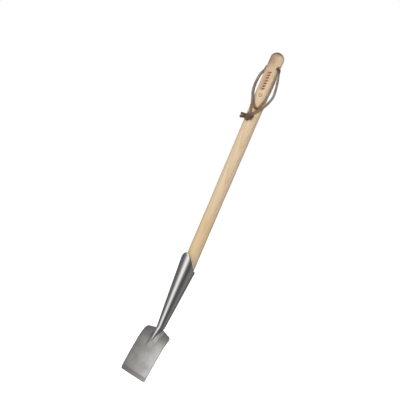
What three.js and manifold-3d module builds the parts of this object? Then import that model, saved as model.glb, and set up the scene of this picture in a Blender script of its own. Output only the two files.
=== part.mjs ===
// A long-handled garden spade with a narrow blade: a forged steel blade and a rolled steel socket,
// an ash shaft, and a leather lace tied through the shaft's top as a hanging loop.
//
// Units are millimetres. The shaft's axis is Z, with the grip's end up, X runs across the blade, and
// the blade's digging face looks towards -Y. The origin is the middle of the lace hole in the shaft.

import * as THREE from 'three';
import { mergeVertices } from 'three/addons/utils/BufferGeometryUtils.js';
import Module from 'manifold-3d';

const wasm = await Module();
wasm.setup();

// ---- driving dimensions ------------------------------------------------------------------------

const GAP = 0.3;                        // clearance between two pieces that touch on the real spade

// shaft
const SHAFT_RADIUS = 14;                // the straight part above the socket
const GRIP_RADIUS = 14.8;               // the slightly thicker grip at the top
const GRIP_SWELL_FROM = -270;           // the shaft starts to thicken here and is full at the hole
const SHAFT_TOP = 32;
const DOME_HEIGHT = 13.2;
const HOLE_RADIUS = 4.5;

// socket: a cone on an axis that leans forward a little on its way down to the blade
const NECK_Z = -592;                    // where the cone ends and the nose starts
const NECK_Y = -5.4;
const NECK_RADIUS = 9;
const SOCKET_LEAN = 0.0245;             // sideways run of the socket's axis per unit of height
const SOCKET_FLARE = 0.0768;            // growth of its radius per unit of height
const SOCKET_WALL = 2.2;
const SOCKET_FLOOR_Z = -574;            // bottom of the hollow that holds the shaft
const RIM_FRONT_Z = -423.5;             // tip of the tongue at the front of the mouth
const RIM_DROP = 35;                    // how much lower the mouth is at the back
const SEAM_WIDTH = 2.6;                 // the open joint of the rolled sheet, at the back
const SEAM_BOTTOM_Z = -548;
const FULL_FIT_Z = -470;                // below this the shaft fills the socket

// rivet that holds the shaft, on the left side
const RIVET_Z = -484;
const RIVET_HEAD_RADIUS = 4.6;
const RIVET_HEAD_HEIGHT = 2.3;
const RIVET_SHANK_RADIUS = 1.9;
const RIVET_SHANK_LENGTH = 15;

// blade: its own coordinates are x across it and q up it from the cutting edge
const EDGE_Y = -31;                   // the cutting edge
const EDGE_Z = -705.5;
const BLADE_LEAN = THREE.MathUtils.degToRad(11);
const BLADE_WIDTH = 74;
const BLADE_THICKNESS = 2.4;
const BLADE_TOP = 113.5;                // the blade's end inside the socket
const BLADE_BOW = 1.8;                  // the front is slightly convex lengthwise
const BEND_FROM = 72;                   // from here up the blade bends back to the socket's middle
const BEND_REACH = 33;
const BLADE_BEND = 4;                   // how far back it is this much further up
const BEVEL_HEIGHT = 10.5;              // the sharpened band
const EDGE_THICKNESS = 0.9;
const BOTTOM_CORNER = 3;
const SHOULDER_CORNER = 9.5;
const SHOULDER_PEAK = 115.3;            // where the two sloping shoulders would meet
const SHOULDER_SLOPE = Math.tan(THREE.MathUtils.degToRad(13.8));
const NOSE_TIP_Q = 80;                  // the socket's nose ends this far up the blade
const NOSE_TIP_HALF_WIDTH = 0.8;
const NOSE_TIP_HALF_DEPTH = 2.0;

// leather lace
const LACE_RADIUS = 1.8;
const LACE_SIDES = 8;
const LACE_STEPS = 78;
const KNOT_CENTRE = new THREE.Vector3(6.7, -20.7, -114.2);
const KNOT_RADII = new THREE.Vector3(6.6, 5.4, 5.8);

// ---- materials ---------------------------------------------------------------------------------

const ash = new THREE.MeshStandardMaterial({ color: 0xdcbc8c, roughness: 0.55, metalness: 0 });
const steel = new THREE.MeshStandardMaterial({ color: 0x96948f, roughness: 0.42, metalness: 1 });
const polished = new THREE.MeshStandardMaterial({ color: 0xa8a7a5, roughness: 0.22, metalness: 1 });
const leather = new THREE.MeshStandardMaterial({ color: 0x7a6250, roughness: 0.7, metalness: 0 });

// ---- helpers -----------------------------------------------------------------------------------

// Moves every vertex of a geometry with move(vertex), which changes the vertex in place.
function reshape(geometry, move) {
  const position = geometry.attributes.position;
  const vertex = new THREE.Vector3();
  for (let i = 0; i < position.count; i += 1) {
    vertex.fromBufferAttribute(position, i);
    move(vertex);
    position.setXYZ(i, vertex.x, vertex.y, vertex.z);
  }
  return geometry;
}

// A bar along Z with an elliptical section. levels are its ring heights, from low to high, and
// sectionAt(z) gives each ring's half-widths rx and ry and the y of its centre.
function bar(levels, sectionAt, sides) {
  const geometry = new THREE.CylinderGeometry(1, 1, 1, sides, levels.length - 1);
  geometry.rotateX(Math.PI / 2);
  return reshape(geometry, (vertex) => {
    const level = Math.round((vertex.z + 0.5) * (levels.length - 1));
    const section = sectionAt(levels[level]);
    vertex.set(vertex.x * section.rx, section.y + vertex.y * section.ry, levels[level]);
  });
}

// Evenly spaced heights from low to high, both ends included.
function spaced(low, high, count) {
  return Array.from({ length: count }, (_, i) => low + ((high - low) * i) / (count - 1));
}

function solidOf(geometry) {
  const bare = geometry.clone();
  bare.deleteAttribute('normal');
  bare.deleteAttribute('uv');
  const merged = mergeVertices(bare, 1e-4);
  return new wasm.Manifold(new wasm.Mesh({
    numProp: 3,
    vertProperties: new Float32Array(merged.attributes.position.array),
    triVerts: new Uint32Array(merged.index.array),
  }));
}

function geometryOf(solid) {
  const { vertProperties, triVerts } = solid.getMesh();
  const geometry = new THREE.BufferGeometry();
  geometry.setAttribute('position', new THREE.BufferAttribute(vertProperties, 3));
  geometry.setIndex(new THREE.BufferAttribute(triVerts, 1));
  geometry.computeVertexNormals();
  return geometry;
}

function named(name, geometry, material) {
  const mesh = new THREE.Mesh(geometry, material);
  mesh.name = name;
  return mesh;
}

// ---- blade -------------------------------------------------------------------------------------

// The blade's outline: half its width at a height q above the cutting edge.
function bladeHalfWidth(q) {
  const half = BLADE_WIDTH / 2;
  if (q < BOTTOM_CORNER) {
    const down = BOTTOM_CORNER - q;
    return half - BOTTOM_CORNER + Math.sqrt(BOTTOM_CORNER ** 2 - down ** 2);
  }
  const arcX = half - SHOULDER_CORNER;
  const arcQ = SHOULDER_PEAK - SHOULDER_SLOPE * arcX
    - SHOULDER_CORNER * Math.hypot(1, SHOULDER_SLOPE);
  if (q <= arcQ) {
    return half;
  }
  const arcEndQ = arcQ + SHOULDER_CORNER / Math.hypot(1, SHOULDER_SLOPE);
  if (q <= arcEndQ) {
    return arcX + Math.sqrt(SHOULDER_CORNER ** 2 - (q - arcQ) ** 2);
  }
  return (SHOULDER_PEAK - q) / SHOULDER_SLOPE;
}

// The point of the blade at x and q, this far in front of its middle surface.
function onBlade(x, q, front) {
  const share = q / BLADE_TOP;
  const bend = BLADE_BEND * Math.max(0, (q - BEND_FROM) / BEND_REACH) ** 2;
  const out = front + 4 * BLADE_BOW * share * (1 - share) - bend;
  return new THREE.Vector3(
    x,
    EDGE_Y + q * Math.sin(BLADE_LEAN) - out * Math.cos(BLADE_LEAN),
    EDGE_Z + q * Math.cos(BLADE_LEAN) + out * Math.sin(BLADE_LEAN),
  );
}

// The plate, grown by extra on every side that the socket touches.
function bladePlate(extra) {
  const heights = [
    0, 0.4, 1.2, BOTTOM_CORNER, BEVEL_HEIGHT, 24, 40, 55, 70, 85, 95, 100.1, 102, 104, 105.5, 106.8,
    107.9, 110, BLADE_TOP,
  ];
  const last = heights.length - 1;
  const geometry = new THREE.BoxGeometry(2, 2, 1, 4, 1, last);
  return reshape(geometry, (vertex) => {
    const level = Math.round((vertex.z + 0.5) * last);
    const q = heights[level];
    const half = bladeHalfWidth(q);
    let front = BLADE_THICKNESS / 2;
    if (vertex.y < 0 && q < BEVEL_HEIGHT) {
      front -= (BLADE_THICKNESS - EDGE_THICKNESS) * (1 - q / BEVEL_HEIGHT);
    }
    const side = -Math.sign(vertex.y) * (front + extra);
    const top = level === last ? extra : 0;
    vertex.copy(onBlade(vertex.x * (half + extra), q + top, side));
  });
}

// ---- socket ------------------------------------------------------------------------------------

const socketY = (z) => NECK_Y + SOCKET_LEAN * (z - NECK_Z);
const socketRadius = (z) => NECK_RADIUS + SOCKET_FLARE * (z - NECK_Z);
const NOSE_TIP = onBlade(0, NOSE_TIP_Q, 0);

function socketSection(z) {
  if (z >= NECK_Z) {
    return { rx: socketRadius(z), ry: socketRadius(z), y: socketY(z) };
  }
  const share = (z - NOSE_TIP.z) / (NECK_Z - NOSE_TIP.z);
  return {
    rx: THREE.MathUtils.lerp(NOSE_TIP_HALF_WIDTH, NECK_RADIUS, share),
    ry: THREE.MathUtils.lerp(NOSE_TIP_HALF_DEPTH, NECK_RADIUS, share),
    y: THREE.MathUtils.lerp(NOSE_TIP.y, NECK_Y, share),
  };
}

function hollowSection(z) {
  const radius = socketRadius(z) - SOCKET_WALL;
  return { rx: radius, ry: radius, y: socketY(z) };
}

// Height of the mouth's edge, turned by angle from the front: a rounded tongue, then long slopes
// that level out at the back.
function rimHeight(angle) {
  const turn = Math.min(Math.PI, 1.5 * Math.abs(angle));
  return RIM_FRONT_Z - RIM_DROP * ((1 - Math.cos(turn)) / 2) ** 0.85;
}

// A thick ring that takes away everything above the mouth's edge.
function mouthCutter() {
  const inner = 8;
  const outer = 34;
  const profile = [[inner, 0], [outer, 0], [outer, 1], [inner, 1], [inner, 0]];
  const points = profile.map(([r, h]) => new THREE.Vector2(r, h));
  const geometry = new THREE.LatheGeometry(points, 64);
  geometry.rotateX(Math.PI / 2);
  return reshape(geometry, (vertex) => {
    const angle = Math.atan2(vertex.x, -vertex.y);
    vertex.y += socketY(RIM_FRONT_Z);
    vertex.z = vertex.z > 0.5 ? RIM_FRONT_Z + 20 : rimHeight(angle);
  });
}

function rivetPlace(geometry) {
  const tilt = Math.atan(SOCKET_FLARE);
  geometry.rotateZ(Math.PI / 2);
  geometry.rotateY(-tilt);
  geometry.translate(-socketRadius(RIVET_Z) - GAP, socketY(RIVET_Z), RIVET_Z);
  return geometry;
}

function rivetBore(radius) {
  return solidOf(rivetPlace(new THREE.CylinderGeometry(radius, radius, 44, 24)));
}

function socketSolid() {
  const levels = [
    ...spaced(NOSE_TIP.z, NECK_Z, 7), ...spaced(NECK_Z, RIM_FRONT_Z + 6, 6).slice(1),
  ];
  const hollowLevels = spaced(SOCKET_FLOOR_Z, RIM_FRONT_Z + 10, 6);
  const seam = new THREE.BoxGeometry(SEAM_WIDTH, 40, 160);
  seam.translate(0, 20 + socketY(SEAM_BOTTOM_Z), SEAM_BOTTOM_Z + 80);
  return solidOf(bar(levels, socketSection, 56))
    .subtract(solidOf(bar(hollowLevels, hollowSection, 56)))
    .subtract(solidOf(mouthCutter()))
    .subtract(solidOf(seam))
    .subtract(solidOf(bladePlate(GAP)))
    .subtract(rivetBore(RIVET_SHANK_RADIUS + GAP).trimByPlane([-1, 0, 0], 0));
}

// ---- shaft -------------------------------------------------------------------------------------

function shaftSection(z) {
  const swell = THREE.MathUtils.smoothstep(z, GRIP_SWELL_FROM, 0);
  let radius = THREE.MathUtils.lerp(SHAFT_RADIUS, GRIP_RADIUS, swell);
  let y = 0;
  const domeStart = SHAFT_TOP - DOME_HEIGHT;
  if (z > domeStart) {
    const share = (z - domeStart) / DOME_HEIGHT;
    radius *= Math.sqrt(Math.max(0, 1 - share ** 2));
  }
  if (z <= FULL_FIT_Z) {
    radius = socketRadius(z) - SOCKET_WALL - GAP;
    y = socketY(z);
  }
  return { rx: radius, ry: radius, y };
}

function shaftSolid() {
  const domeStart = SHAFT_TOP - DOME_HEIGHT;
  const dome = [15, 30, 45, 58, 70, 81].map(
    (angle) => domeStart + DOME_HEIGHT * Math.sin(THREE.MathUtils.degToRad(angle)),
  );
  const levels = [
    ...spaced(SOCKET_FLOOR_Z + GAP, FULL_FIT_Z, 4), FULL_FIT_Z + 8,
    ...spaced(GRIP_SWELL_FROM, domeStart, 6), ...dome,
  ];
  const hole = new THREE.CylinderGeometry(HOLE_RADIUS, HOLE_RADIUS, 60, 28);
  hole.rotateZ(Math.PI / 2);
  return solidOf(bar(levels, shaftSection, 48))
    .subtract(solidOf(hole))
    .subtract(rivetBore(RIVET_SHANK_RADIUS + GAP).trimByPlane([-1, 0, 0], 0));
}

// ---- rivet -------------------------------------------------------------------------------------

function rivet() {
  const head = RIVET_HEAD_HEIGHT;
  const arc = spaced(0, Math.PI / 2, 5).map((angle) => new THREE.Vector2(
    RIVET_HEAD_RADIUS * Math.cos(angle),
    0.5 + (head - 0.5) * Math.sin(angle),
  ));
  arc[arc.length - 1].x = 0;
  const profile = [
    new THREE.Vector2(0, -RIVET_SHANK_LENGTH),
    new THREE.Vector2(RIVET_SHANK_RADIUS * 0.4, -RIVET_SHANK_LENGTH),
    new THREE.Vector2(RIVET_SHANK_RADIUS, -RIVET_SHANK_LENGTH + 3),
    new THREE.Vector2(RIVET_SHANK_RADIUS, 0),
    new THREE.Vector2(RIVET_HEAD_RADIUS, 0),
    ...arc,
  ];
  const geometry = new THREE.LatheGeometry(profile, 24);
  geometry.translate(0, GAP + 0.1, 0);
  return rivetPlace(geometry);
}

// ---- lace --------------------------------------------------------------------------------------

// The lace leaves the knot in front of the shaft, climbs past the shaft's left side, goes through
// the hole, drops down the right side, turns up again in front, goes through the hole a second
// time and comes back down to the knot in a wider bow.
const LACE_ROUTE = [
  [6.2, -20.0, -106.5], [4.4, -20.2, -98.5], [1.9, -20.5, -91], [-1.0, -20.8, -81.5],
  [-5.9, -19.8, -73], [-12.0, -17.4, -65], [-16.1, -14.9, -56.4], [-18.9, -12.3, -48],
  [-20.6, -10.2, -40], [-21.2, -8.6, -31.4], [-20.9, -7.0, -23], [-18.9, -4.2, -14.6],
  [-17.5, -2.4, -8], [-17.2, -2.0, -3.9], [-15.8, -1.9, -1.4], [-8, -1.9, -1.3], [8, -1.9, -1.3],
  [15.9, -1.9, -1.35], [17.3, -1.9, -3.8], [17.2, -1.7, -8.4], [17.0, -1.2, -16], [17.2, -0.5, -28],
  [17.2, -0.2, -40], [17.0, -1, -58], [16.9, -3.6, -71], [15.9, -7.4, -81], [14.6, -10.2, -89.0],
  [12.0, -12.9, -93.4], [6.8, -16.6, -90.2], [3.0, -17.1, -85.8], [0.3, -17.1, -81.5],
  [-6.2, -15.9, -73], [-12.4, -13.3, -65], [-17.5, -10.8, -56.4], [-20.7, -8.3, -48],
  [-22.5, -6.4, -40], [-22.9, -4.8, -31.4], [-22.6, -3.2, -23], [-20.6, -0.3, -14.6],
  [-18.6, 1.4, -8], [-17.5, 1.8, -3.9], [-15.8, 1.9, -1.4], [-8, 1.9, -1.3], [8, 1.9, -1.3],
  [15.9, 1.9, -1.35], [17.3, 2.1, -3.8], [17.6, 2.6, -8.4], [19.2, 3.2, -14.6], [21.8, 2.9, -23],
  [24.4, 2.2, -31.4], [27.3, 1.1, -40], [29.0, 0.3, -48], [30.2, -0.5, -56.4], [29.7, -2.1, -65],
  [28.0, -4.4, -73], [25.4, -7.0, -81.5], [21.6, -9.8, -90], [18.4, -11.6, -94],
  [15.0, -13.8, -98.5], [10.4, -17.4, -106.6],
];

function lace(points, steps) {
  const path = new THREE.CatmullRomCurve3(
    points.map((point) => new THREE.Vector3(...point)),
    false,
    'centripetal',
  );
  const section = new THREE.Shape(
    Array.from({ length: LACE_SIDES }, (_, i) => {
      const angle = (2 * Math.PI * i) / LACE_SIDES;
      return new THREE.Vector2(LACE_RADIUS * Math.cos(angle), LACE_RADIUS * Math.sin(angle));
    }),
  );
  return new THREE.ExtrudeGeometry(section, { steps, bevelEnabled: false, extrudePath: path });
}

function knot() {
  const geometry = new THREE.SphereGeometry(1, 16, 10);
  geometry.scale(KNOT_RADII.x, KNOT_RADII.y, KNOT_RADII.z);
  geometry.translate(KNOT_CENTRE.x, KNOT_CENTRE.y, KNOT_CENTRE.z);
  return geometry;
}

const TAILS = {
  lace_tail_upper: [[-0.2, -21.6, -112.6], [-5.2, -24.4, -113.4], [-8.6, -28.2, -114.6]],
  lace_tail_lower: [[0.2, -21.8, -116.8], [-4.8, -24.6, -119.0], [-7.8, -28.4, -121.4]],
};

// ---- assembly ----------------------------------------------------------------------------------

const spade = new THREE.Group();
spade.add(named('blade', bladePlate(0), steel));
spade.add(named('socket', geometryOf(socketSolid()), polished));
spade.add(named('shaft', geometryOf(shaftSolid()), ash));
spade.add(named('socket_rivet', rivet(), steel));
spade.add(named('lace_loop', lace(LACE_ROUTE, LACE_STEPS), leather));
spade.add(named('lace_knot', knot(), leather));
for (const [name, points] of Object.entries(TAILS)) {
  spade.add(named(name, lace(points, 4), leather));
}

export default spade;
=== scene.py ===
import math

import bmesh
import bpy
import numpy as np
from mathutils import Matrix, Vector


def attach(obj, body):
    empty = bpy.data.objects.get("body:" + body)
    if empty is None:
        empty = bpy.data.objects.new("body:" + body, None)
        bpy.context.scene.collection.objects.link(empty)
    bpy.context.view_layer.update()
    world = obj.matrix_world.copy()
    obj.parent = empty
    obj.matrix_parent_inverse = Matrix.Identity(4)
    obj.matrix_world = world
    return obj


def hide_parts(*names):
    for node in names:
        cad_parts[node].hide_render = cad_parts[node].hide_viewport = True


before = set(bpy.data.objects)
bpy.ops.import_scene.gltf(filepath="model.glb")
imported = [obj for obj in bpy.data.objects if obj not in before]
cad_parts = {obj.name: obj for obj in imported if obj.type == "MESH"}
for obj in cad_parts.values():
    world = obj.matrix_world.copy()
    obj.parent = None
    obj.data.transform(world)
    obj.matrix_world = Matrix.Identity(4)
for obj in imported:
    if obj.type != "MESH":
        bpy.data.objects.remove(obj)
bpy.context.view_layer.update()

# The row frame: the shaft's axis is Z with the grip's end up, X runs across the blade, and the
# blade's digging face looks towards -Y. Shapes are worked out in millimetres and built in metres.
MM = 0.001

# ---- camera ------------------------------------------------------------------------------------

AZIMUTH = math.radians(40)              # how far the camera stands to the right of the face
ELEVATION = math.radians(3.42)
ROLL = math.radians(23.14)              # the spade leans to the right in the frame
DISTANCE = 2.6
AIM_HEIGHT = -0.3137
AIM_SIDE = -0.0326
FRAME_WIDTH = 0.836                     # what the frame takes in at the aim's distance

TO_CAMERA = Vector((
    math.sin(AZIMUTH) * math.cos(ELEVATION),
    -math.cos(AZIMUTH) * math.cos(ELEVATION),
    math.sin(ELEVATION),
))
TO_RIGHT = Vector((math.cos(AZIMUTH), math.sin(AZIMUTH), 0))


def add_camera():
    up = TO_CAMERA.cross(TO_RIGHT)
    x_axis = math.cos(ROLL) * TO_RIGHT + math.sin(ROLL) * up
    y_axis = math.cos(ROLL) * up - math.sin(ROLL) * TO_RIGHT
    data = bpy.data.cameras.new("camera")
    data.sensor_width = 36
    data.lens = 36 * DISTANCE / FRAME_WIDTH
    data.clip_end = 60
    camera = bpy.data.objects.new("camera", data)
    bpy.context.scene.collection.objects.link(camera)
    place = Vector((0, 0, AIM_HEIGHT)) + AIM_SIDE * TO_RIGHT + DISTANCE * TO_CAMERA
    turn = Matrix((x_axis, y_axis, TO_CAMERA)).transposed()
    camera.matrix_world = Matrix.Translation(place) @ turn.to_4x4()
    bpy.context.scene.camera = camera


# ---- meshes ------------------------------------------------------------------------------------


def make_piece(name, points, faces, body, materials, face_slots=None, sharp=35):
    """A mesh piece from points in millimetres, which rides on a body."""
    mesh = bpy.data.meshes.new(name)
    mesh.from_pydata([tuple(MM * float(v) for v in p) for p in points], [], faces)
    for material in materials:
        mesh.materials.append(material)
    if face_slots is not None:
        mesh.polygons.foreach_set("material_index", face_slots)
    work = bmesh.new()
    work.from_mesh(mesh)
    bmesh.ops.remove_doubles(work, verts=work.verts, dist=1e-6)
    bmesh.ops.dissolve_degenerate(work, dist=1e-7, edges=work.edges)
    bmesh.ops.recalc_face_normals(work, faces=work.faces)
    work.to_mesh(mesh)
    work.free()
    mesh.shade_smooth()
    mesh.set_sharp_from_angle(angle=math.radians(sharp))
    piece = bpy.data.objects.new(name, mesh)
    bpy.context.scene.collection.objects.link(piece)
    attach(piece, body)
    return piece


def grid_faces(rows, columns, closed, first=0):
    """Quads of a grid of points stored row by row. closed joins the last column to the first."""
    faces = []
    for row in range(rows - 1):
        for column in range(columns if closed else columns - 1):
            after = (column + 1) % columns
            low, high = first + row * columns, first + (row + 1) * columns
            faces.append((low + column, low + after, high + after, high + column))
    return faces


def smooth_step(value, low, high):
    share = min(1.0, max(0.0, (value - low) / (high - low)))
    return share * share * (3 - 2 * share)


def catmull_rom(points, step):
    """Points about step apart on the smooth curve through points (centripetal Catmull-Rom)."""
    points = [np.array(p, float) for p in points]
    points = [2 * points[0] - points[1], *points, 2 * points[-1] - points[-2]]
    line = []
    for p0, p1, p2, p3 in zip(points, points[1:], points[2:], points[3:]):
        t1 = np.linalg.norm(p1 - p0) ** 0.5
        t2 = t1 + np.linalg.norm(p2 - p1) ** 0.5
        t3 = t2 + np.linalg.norm(p3 - p2) ** 0.5
        count = max(2, int(np.linalg.norm(p2 - p1) / step) + 1)
        for t in np.linspace(t1, t2, count, endpoint=False):
            a1 = (t1 - t) / t1 * p0 + t / t1 * p1
            a2 = (t2 - t) / (t2 - t1) * p1 + (t - t1) / (t2 - t1) * p2
            a3 = (t3 - t) / (t3 - t2) * p2 + (t - t2) / (t3 - t2) * p3
            b1 = (t2 - t) / t2 * a1 + t / t2 * a2
            b2 = (t3 - t) / (t3 - t1) * a2 + (t - t1) / (t3 - t1) * a3
            line.append((t2 - t) / (t2 - t1) * b1 + (t - t1) / (t2 - t1) * b2)
    line.append(points[-2])
    return np.array(line)


def evenly(line, step):
    """The same line with points an equal step apart."""
    along = np.concatenate([[0], np.cumsum(np.linalg.norm(np.diff(line, axis=0), axis=1))])
    marks = np.linspace(0, along[-1], int(round(along[-1] / step)) + 1)
    return np.stack([np.interp(marks, along, line[:, k]) for k in range(3)], axis=1)


# ---- node trees --------------------------------------------------------------------------------


class Nodes:
    """Adds nodes to a tree. Each method returns the output socket of the node that it adds."""

    def __init__(self, tree):
        self.tree = tree

    def feed(self, socket, value):
        if isinstance(value, bpy.types.NodeSocket):
            self.tree.links.new(value, socket)
        elif value is not None:
            socket.default_value = value

    def add(self, kind, inputs, out=0, **settings):
        node = self.tree.nodes.new("ShaderNode" + kind)
        for key, value in settings.items():
            setattr(node, key, value)
        for key, value in inputs.items():
            self.feed(node.inputs[key], value)
        return node.outputs[out]

    def math(self, operation, a, b=None):
        return self.add("Math", {0: a, 1: b}, operation=operation)

    def hypotenuse(self, a, b):
        squares = self.math("ADD", self.math("MULTIPLY", a, a), self.math("MULTIPLY", b, b))
        return self.math("SQRT", squares)

    def vector(self, operation, a, b=None, out=0):
        return self.add("VectorMath", {0: a, 1: b}, out, operation=operation)

    def object_place(self):
        return self.add("TexCoord", {}, "Object")

    def xyz(self, vector):
        node = self.tree.nodes.new("ShaderNodeSeparateXYZ")
        self.feed(node.inputs[0], vector)
        return node.outputs[0], node.outputs[1], node.outputs[2]

    def noise(self, place, stretch, detail=3.0, roughness=0.5):
        stretched = self.vector("MULTIPLY", place, stretch)
        inputs = {"Vector": stretched, "Scale": 1.0, "Detail": detail, "Roughness": roughness}
        return self.add("TexNoise", inputs)

    def ramp(self, value, stops):
        node = self.tree.nodes.new("ShaderNodeValToRGB")
        self.feed(node.inputs[0], value)
        elements = node.color_ramp.elements
        while len(elements) < len(stops):
            elements.new(0.5)
        for element, (place, colour) in zip(elements, stops):
            element.position = place
            if isinstance(colour, (int, float)):
                colour = (colour, colour, colour)
            element.color = (*colour, 1)
        return node.outputs[0]

    def mix(self, share, a, b):
        a, b = (c if isinstance(c, bpy.types.NodeSocket) else (*c, 1) for c in (a, b))
        return self.add("Mix", {0: share, 6: a, 7: b}, 2, data_type="RGBA")

    def between(self, value, low, high, from_low=0.0, from_high=1.0):
        """Goes from low to high while value goes from from_low to from_high."""
        inputs = {0: value, 1: from_low, 2: from_high, 3: low, 4: high}
        return self.add("MapRange", inputs)

    def patch(self, place, centre, reach, share, inner, outer):
        """A soft spot round a point: share inside it, and 0 from outer on. reach is one over the
        spot's half width along x, y and z, and 0 where the spot has no end."""
        away = self.vector("MULTIPLY", self.vector("SUBTRACT", place, centre), reach)
        return self.between(self.vector("LENGTH", away, out=1), share, 0, inner, outer)

    def bump(self, height, distance, strength):
        inputs = {"Strength": strength, "Distance": distance, "Height": height}
        return self.add("Bump", inputs)


def principled(name):
    """A new material, its node builder, and its shader node."""
    material = bpy.data.materials.new(name)
    material.use_nodes = True
    shader = material.node_tree.nodes["Principled BSDF"]
    return material, Nodes(material.node_tree), shader


# ---- ash wood with the burned mark ----------------------------------------------------------

MARK_TOP = -11.0
MARK_LENGTH = 42.0
MARK_LEAVES = 7
MARK_HALF_WIDTH = 3.9
MARK_AZIMUTH = math.radians(27)         # how far round the grip the mark stands
LEAF_HALF_HEIGHT = 2.1
LEAF_TILT = 0.45
SCORCH_AND_SHADOW_SHIFT = 3.6                      # the scorch, with the lace's painted shadow, lies this far to the mark's left
RING_HEIGHT = -64.0
RING_RADIUS = 3.0
RING_HALF_LINE = 1.35


def burned_mark(nodes, x, y, z, place):
    """How burned the wood is: a row of leaf shapes above a plain ring; and a reddish-brown patch to
    the mark's left that is partly scorch and partly the lace's painted shadow.
    """
    side = nodes.math("ADD",
                      nodes.math("MULTIPLY", x, math.cos(MARK_AZIMUTH) / MM),
                      nodes.math("MULTIPLY", y, math.sin(MARK_AZIMUTH) / MM))
    front = nodes.math("SUBTRACT",
                       nodes.math("MULTIPLY", x, math.sin(MARK_AZIMUTH) / MM),
                       nodes.math("MULTIPLY", y, math.cos(MARK_AZIMUTH) / MM))
    facing = nodes.math("GREATER_THAN", front, 0)
    height = nodes.math("DIVIDE", z, MM)
    ragged = nodes.math("SUBTRACT", nodes.noise(place, (800, 800, 800)), 0.5)

    down = nodes.math("DIVIDE", nodes.math("SUBTRACT", MARK_TOP, height), MARK_LENGTH)
    inside = nodes.math("MULTIPLY",
                        nodes.math("GREATER_THAN", down, 0), nodes.math("LESS_THAN", down, 1))
    cell = nodes.math("FRACT", nodes.math("MULTIPLY", down, MARK_LEAVES))
    cell = nodes.math("SUBTRACT", cell, 0.5)
    tilted = nodes.math("ADD", nodes.math("MULTIPLY", cell, MARK_LENGTH / MARK_LEAVES),
                        nodes.math("MULTIPLY", side, LEAF_TILT))
    span = nodes.math("DIVIDE", side, MARK_HALF_WIDTH)
    swell = nodes.math("SUBTRACT", 1.0, nodes.math("MULTIPLY", span, span))
    leaf = nodes.math("SUBTRACT", nodes.math("MULTIPLY", swell, LEAF_HALF_HEIGHT),
                      nodes.math("ABSOLUTE", tilted))
    leaf = nodes.math("ADD", leaf, nodes.math("MULTIPLY", ragged, 2.2))
    leaf = nodes.math("MULTIPLY", nodes.between(leaf, 0, 1, 0.0, 0.55), inside)

    away = nodes.hypotenuse(side, nodes.math("SUBTRACT", height, RING_HEIGHT))
    off = nodes.math("ABSOLUTE", nodes.math("SUBTRACT", away, RING_RADIUS))
    ring = nodes.math("SUBTRACT", RING_HALF_LINE, off)
    ring = nodes.math("ADD", ring, nodes.math("MULTIPLY", ragged, 1.6))
    ring = nodes.between(ring, 0, 0.70, 0.0, 0.9)

    # a reddish-brown patch left of the mark: partly scorch, partly painted shadow of the lace
    halo_side = nodes.between(nodes.math("ABSOLUTE", nodes.math("ADD", side, SCORCH_AND_SHADOW_SHIFT)), 1, 0,
                              MARK_HALF_WIDTH * 0.5, MARK_HALF_WIDTH * 1.9)
    halo_top = nodes.between(height, 1, 0, MARK_TOP - 2, MARK_TOP + 4)
    halo_low = nodes.between(height, 0, 1, MARK_TOP - MARK_LENGTH - 4, MARK_TOP - MARK_LENGTH + 2)
    halo_and_lace_shadow = nodes.math("MULTIPLY", halo_side, nodes.math("MULTIPLY", halo_top, halo_low))
    burned = nodes.math("MULTIPLY", nodes.math("MAXIMUM", leaf, ring), facing)
    return burned, nodes.math("MULTIPLY", halo_and_lace_shadow, facing)


# in metres, as all places in a material
GROWTH_RING = 0.0027                    # from one growth ring's line to the next
PITH_X = -0.031
PITH_Y = 0.024
PITH_DRIFT = -0.034                     # how far the pith moves along x for each metre up


def ash_grain(nodes, place, x, y, z):
    """The growth rings' lines, the fibres and the pores of ash, and its colour."""
    warp = nodes.math("SUBTRACT", nodes.noise(place, (18, 18, 2.6), 2), 0.5)
    ripple = nodes.math("SUBTRACT", nodes.noise(place, (120, 120, 9), 2), 0.5)
    drift = nodes.math("MULTIPLY", z, -PITH_DRIFT)
    away = nodes.hypotenuse(nodes.math("ADD", x, nodes.math("ADD", drift, -PITH_X)),
                            nodes.math("SUBTRACT", y, PITH_Y))
    away = nodes.math("ADD", away, nodes.math("MULTIPLY", warp, 0.010))
    away = nodes.math("ADD", away, nodes.math("MULTIPLY", ripple, 0.0010))
    ring = nodes.math("FRACT", nodes.math("DIVIDE", away, GROWTH_RING))
    ring_line = nodes.ramp(ring, [(0.0, 1.0), (0.16, 0.55), (0.42, 0.10), (0.86, 0.0), (1.0, 0.85)])

    fibres = nodes.noise(place, (1500, 1500, 24), 3, 0.6)
    streaks = nodes.noise(place, (330, 330, 5), 2, 0.55)
    patches = nodes.noise(place, (30, 30, 5.5), 2)
    pores = nodes.between(nodes.noise(place, (2300, 2300, 60), 1, 0.4), 0, 1, 0.60, 0.70)
    pores = nodes.math("MULTIPLY", pores, ring_line)

    colour = nodes.mix(ring_line, (0.790, 0.620, 0.420), (0.680, 0.495, 0.310))
    colour = nodes.mix(nodes.between(streaks, 0, 0.55, 0.35, 0.75), colour, (0.640, 0.465, 0.285))
    colour = nodes.mix(nodes.between(fibres, 0, 0.22, 0.4, 0.8), colour, (0.560, 0.395, 0.235))
    colour = nodes.mix(nodes.between(patches, 0, 0.35, 0.45, 0.75), colour, (0.800, 0.590, 0.390))
    colour = nodes.mix(nodes.math("MULTIPLY", pores, 0.40), colour, (0.400, 0.280, 0.175))
    return colour, fibres, pores, warp


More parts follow.
